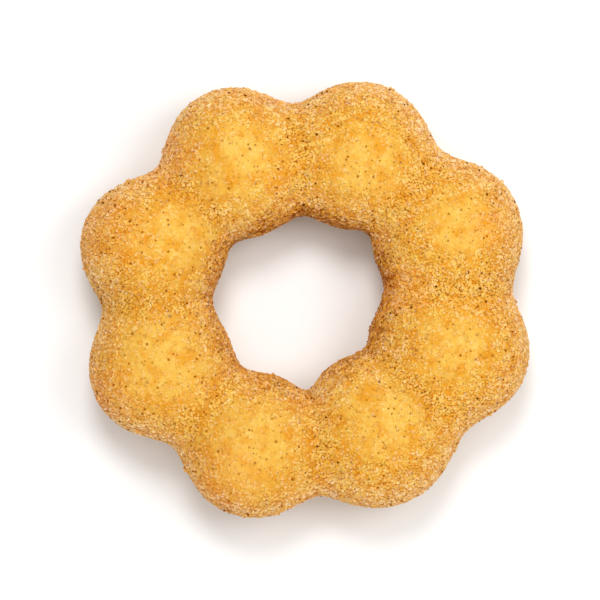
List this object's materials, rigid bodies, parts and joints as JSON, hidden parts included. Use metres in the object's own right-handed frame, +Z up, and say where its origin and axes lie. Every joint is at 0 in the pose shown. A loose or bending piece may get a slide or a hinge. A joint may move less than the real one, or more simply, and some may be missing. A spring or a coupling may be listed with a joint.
{
  "type": "mochi doughnut",
  "caption": "Ring doughnut of soft round balls of dough fried together around an open hole, coated all over in coarse cinnamon sugar.",
  "frame": {"origin": "middle of the footprint, on the plane that the doughnut rests on", "axes": "+Z up through the hole; +X to the right and +Y away from a viewer who looks down on it"},
  "size_m": [0.085, 0.0827, 0.0253],
  "materials": {
    "crust": "matte"
  },
  "bodies": {
    "root": {"doughnut": "crust"}
  },
  "joints": []
}
